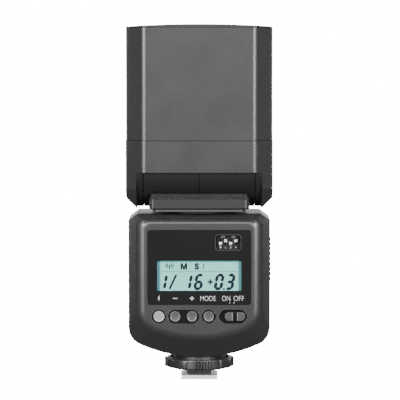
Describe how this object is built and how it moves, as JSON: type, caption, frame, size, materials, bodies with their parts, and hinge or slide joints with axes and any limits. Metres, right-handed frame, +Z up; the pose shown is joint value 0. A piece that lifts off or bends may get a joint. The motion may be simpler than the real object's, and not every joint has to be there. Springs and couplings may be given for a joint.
{
  "type": "speedlight flash",
  "caption": "Shoe-mounted camera flash: control body, swivelling neck, tilting lamp head, locking wheel and sliding shoe foot.",
  "frame": {"origin": "middle of the underside of the shoe foot plate", "axes": "+X to the right seen from the control face, +Y towards the front with the sensor window, +Z up; the lamp head points straight up"},
  "size_m": [0.0738, 0.0491, 0.1793],
  "materials": {
    "body_shell": "fine spark texture",
    "head_shell": "fine spark texture",
    "door_shell": "fine spark texture",
    "neck_shell": "fine spark texture",
    "black_trim": "fine spark texture",
    "neck_plate": "satin",
    "washer_black": "satin",
    "panel": "satin",
    "lcd": "polished",
    "backlight": "satin",
    "bezel": "satin",
    "button_light": "satin",
    "button_grey": "satin",
    "knob": "satin",
    "switch_body": "moulded",
    "lever_white": "moulded",
    "board": "solder mask",
    "copper": "varnished",
    "capacitor": "sleeved",
    "inner_plastic": "moulded",
    "cell": "sleeved",
    "spring_steel": "plated",
    "sensor_red": "polished",
    "jack": "plated",
    "foot_plastic": "moulded",
    "wheel_rubber": "satin",
    "washer_grey": "moulded",
    "foot_metal": "anodised",
    "screw": "blackened",
    "gold": "plated",
    "lens": "prismatic clear",
    "diffuser": "prismatic clear",
    "card": "satin",
    "mirror_metal": "polished",
    "tube_glass": "polished",
    "ceramic": "glazed"
  },
  "bodies": {
    "body": {"rear_cover": "body_shell", "front_cover": "body_shell", "body_screws": "screw", "control_panel": "panel", "lcd_glass": "lcd", "lcd_backlight": "backlight", "button_bezel": "bezel", "board_switches": "switch_body", "dip_switch": "switch_body", "main_board": "board", "transformer": "copper", "main_capacitor": "capacitor", "battery_case": "inner_plastic", "battery_cells": "cell", "case_contacts": "spring_steel", "door_pin": "spring_steel", "sensor_window": "sensor_red", "sync_socket": "jack", "foot_neck": "foot_plastic", "foot_column": "foot_plastic", "foot_plate": "foot_metal", "foot_screws": "screw", "contact_spring": "spring_steel", "swivel_washer": "washer_black", "swivel_bush": "jack"},
    "test_button": {"test_button": "button_light"},
    "minus_button": {"minus_button": "button_grey"},
    "plus_button": {"plus_button": "button_grey"},
    "mode_button": {"mode_button": "button_grey"},
    "power_knob": {"power_knob": "knob"},
    "dip_lever_1": {"dip_lever_1": "lever_white"},
    "dip_lever_2": {"dip_lever_2": "lever_white"},
    "dip_lever_3": {"dip_lever_3": "lever_white"},
    "dip_lever_4": {"dip_lever_4": "lever_white"},
    "door": {"battery_door": "door_shell", "door_contacts": "spring_steel"},
    "contact_pin": {"contact_pin": "gold"},
    "lock_washer": {"lock_washer": "washer_grey"},
    "lock_wheel": {"lock_wheel": "wheel_rubber"},
    "neck": {"swivel_shaft": "neck_plate", "swivel_clip": "spring_steel", "neck_pedestal": "neck_shell", "barrel_left": "black_trim", "barrel_right": "black_trim"},
    "head": {"head_base": "head_shell", "pivot_caps": "black_trim", "tilt_discs": "black_trim", "tilt_clips": "spring_steel", "head_bulkhead": "black_trim", "head_sleeve": "head_shell", "front_frame": "black_trim", "fresnel_lens": "lens", "panel_tray": "inner_plastic", "reflector": "mirror_metal", "flash_tube": "tube_glass", "tube_holders": "ceramic", "trigger_board": "board"},
    "bounce_card": {"bounce_card": "card"},
    "wide_panel": {"wide_panel": "diffuser"}
  },
  "joints": [
    {"name": "test_button_press", "type": "slide", "parent": "body", "child": "test_button", "axis": [0, 1, 0], "range_m": [0, 0.0008], "stiffness_N_per_m": 500, "springref_m": -0.0004},
    {"name": "minus_button_press", "type": "slide", "parent": "body", "child": "minus_button", "axis": [0, 1, 0], "range_m": [0, 0.0008], "stiffness_N_per_m": 500, "springref_m": -0.0004},
    {"name": "plus_button_press", "type": "slide", "parent": "body", "child": "plus_button", "axis": [0, 1, 0], "range_m": [0, 0.0008], "stiffness_N_per_m": 500, "springref_m": -0.0004},
    {"name": "mode_button_press", "type": "slide", "parent": "body", "child": "mode_button", "axis": [0, 1, 0], "range_m": [0, 0.0008], "stiffness_N_per_m": 500, "springref_m": -0.0004},
    {"name": "power_slide", "type": "slide", "parent": "body", "child": "power_knob", "axis": [-1, 0, 0], "range_m": [0, 0.0023]},
    {"name": "dip_1_slide", "type": "slide", "parent": "body", "child": "dip_lever_1", "axis": [0, 0, 1], "range_m": [0, 0.0014]},
    {"name": "dip_2_slide", "type": "slide", "parent": "body", "child": "dip_lever_2", "axis": [0, 0, -1], "range_m": [0, 0.0014]},
    {"name": "dip_3_slide", "type": "slide", "parent": "body", "child": "dip_lever_3", "axis": [0, 0, 1], "range_m": [0, 0.0014]},
    {"name": "dip_4_slide", "type": "slide", "parent": "body", "child": "dip_lever_4", "axis": [0, 0, -1], "range_m": [0, 0.0014]},
    {"name": "door_swing", "type": "hinge", "parent": "body", "child": "door", "pos_m": [0.0346, 0.0175, 0.0568], "axis": [0, 0, 1], "range_deg": [0, 100]},
    {"name": "contact_press", "type": "slide", "parent": "body", "child": "contact_pin", "axis": [0, 0, 1], "range_m": [0, 0.0006], "stiffness_N_per_m": 800, "springref_m": -0.0003},
    {"name": "wheel_turn", "type": "hinge", "parent": "body", "child": "lock_wheel", "pos_m": [0, 0, 0.0082], "axis": [0, 0, 1], "range_deg": [0, 503.9]},
    {"name": "washer_slide", "type": "slide", "parent": "body", "child": "lock_washer", "axis": [0, 0, -1], "range_m": [0, 0.0021]},
    {"name": "pan", "type": "hinge", "parent": "body", "child": "neck", "pos_m": [0, 0, 0.0846], "axis": [0, 0, 1], "range_deg": [-90, 180]},
    {"name": "tilt", "type": "hinge", "parent": "neck", "child": "head", "pos_m": [0, 0, 0.11025], "axis": [-1, 0, 0], "range_deg": [0, 90]},
    {"name": "card_pull", "type": "slide", "parent": "head", "child": "bounce_card", "axis": [0, 0, 1], "range_m": [0, 0.036]},
    {"name": "wide_pull", "type": "slide", "parent": "head", "child": "wide_panel", "axis": [0, 0, 1], "range_m": [0, 0.036]}
  ],
  "couplings": [
    {"joint": "washer_slide", "follows": "wheel_turn", "m_per_rad": 0.00023873}
  ]
}
